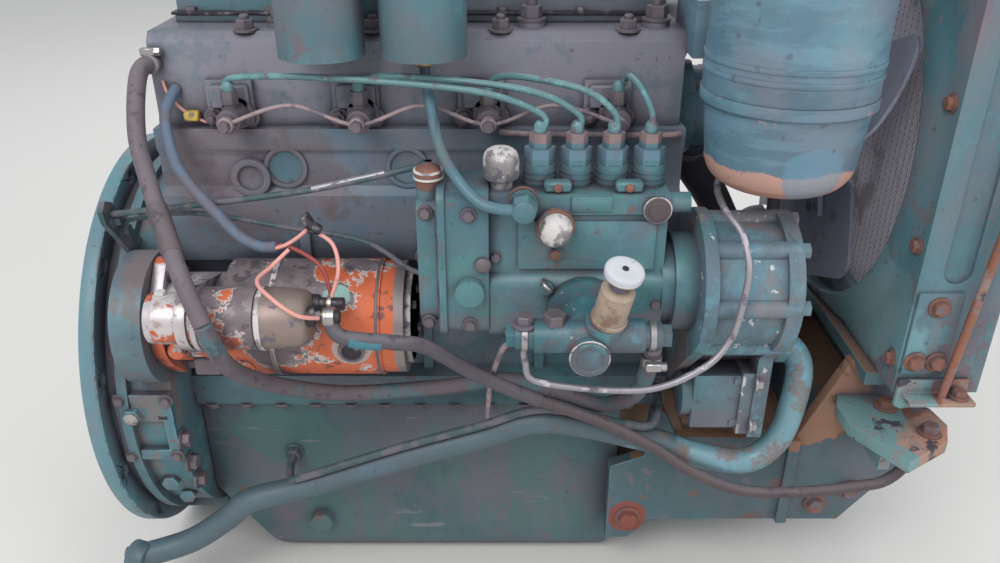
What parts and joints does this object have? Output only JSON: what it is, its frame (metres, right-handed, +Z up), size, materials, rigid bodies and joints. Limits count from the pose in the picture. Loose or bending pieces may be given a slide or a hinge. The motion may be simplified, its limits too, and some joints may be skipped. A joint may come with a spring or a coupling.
{
  "type": "tractor front power unit",
  "caption": "Diesel engine of an old tractor with injection pump, starter, air cleaner, fan and radiator, on its front axle support, ready to bolt to a gearbox.",
  "frame": {"origin": "on the crankshaft's axis, in the rear face of the bell housing's flange, which bolts to the gearbox", "axes": "+X forward along the crankshaft, +Z up, -Y the tractor's right-hand side"},
  "size_m": [0.87, 0.6129, 0.842],
  "materials": {
    "cast_teal": "old flaked paint over cast iron",
    "cast_dark": "oily old paint over cast iron",
    "blue_paint": "worn paint over sheet steel",
    "orange_paint": "flaking paint over grimy steel",
    "bare_iron": "grimy bare iron",
    "bare_steel": "dull worn steel",
    "rusty_steel": "rusted",
    "core_metal": "dusty fins",
    "rubber": "dusty rubber",
    "loom": "faded sleeve",
    "primer_parts": "dull brass and bakelite"
  },
  "bodies": {
    "engine": {"block": "cast_teal", "head": "cast_teal", "rocker_cover": "cast_teal", "oil_filler": "rusty_steel", "sump": "cast_dark", "bell_housing": "cast_teal", "bell_flange": "cast_teal", "bell_frame": "cast_teal", "timing_case": "cast_teal", "front_support": "cast_dark", "support_slope": "cast_dark", "support_front": "cast_dark", "radiator_shelf": "cast_dark", "support_sides": "cast_dark", "side_brackets": "rusty_steel", "water_pump": "blue_paint", "fan_belt": "rubber", "dynamo": "bare_iron", "radiator_core": "core_metal", "radiator_tanks": "cast_teal", "radiator_cap": "bare_steel", "fan_shroud": "cast_teal", "upper_hose": "rubber", "lower_hose": "rubber", "injection_pump": "cast_teal", "governor": "cast_teal", "delivery_valves": "blue_paint", "feed_pump": "cast_teal", "primer": "primer_parts", "injectors": "rusty_steel", "injector_pipes": "blue_paint", "leak_off_pipe": "bare_steel", "starter_motor": "orange_paint", "starter_solenoid": "orange_paint", "air_cleaner": "blue_paint", "air_cleaner_bowl": "blue_paint", "intake_pipe": "rubber", "intake_manifold": "cast_teal", "exhaust_manifold": "rusty_steel", "oil_filter": "rusty_steel", "fuel_filters": "cast_teal", "hydraulic_pump": "cast_teal", "suction_pipe": "blue_paint", "fuel_pipes": "bare_steel", "fuel_hose": "rubber", "control_rods": "rusty_steel", "wiring": "loom", "battery_cable": "rubber"},
    "crank": {"crankshaft": "bare_steel", "flywheel": "bare_iron", "ring_gear": "bare_steel", "clutch_cover": "bare_iron", "crank_pulley": "bare_iron"},
    "fan": {"fan_hub": "bare_iron", "fan_blades": "bare_iron"},
    "dynamo_rotor": {"dynamo_pulley": "bare_iron"}
  },
  "joints": [
    {"name": "crank_spin", "type": "hinge", "parent": "engine", "child": "crank", "pos_m": [0, 0, 0], "axis": [1, 0, 0], "continuous": true},
    {"name": "fan_spin", "type": "hinge", "parent": "engine", "child": "fan", "pos_m": [0.766, 0, 0.275], "axis": [1, 0, 0], "continuous": true},
    {"name": "dynamo_spin", "type": "hinge", "parent": "engine", "child": "dynamo_rotor", "pos_m": [0.707, 0.198, 0.215], "axis": [1, 0, 0], "continuous": true}
  ],
  "couplings": [
    {"joint": "fan_spin", "follows": "crank_spin", "ratio": 1.367},
    {"joint": "dynamo_spin", "follows": "crank_spin", "ratio": 2.2923}
  ]
}
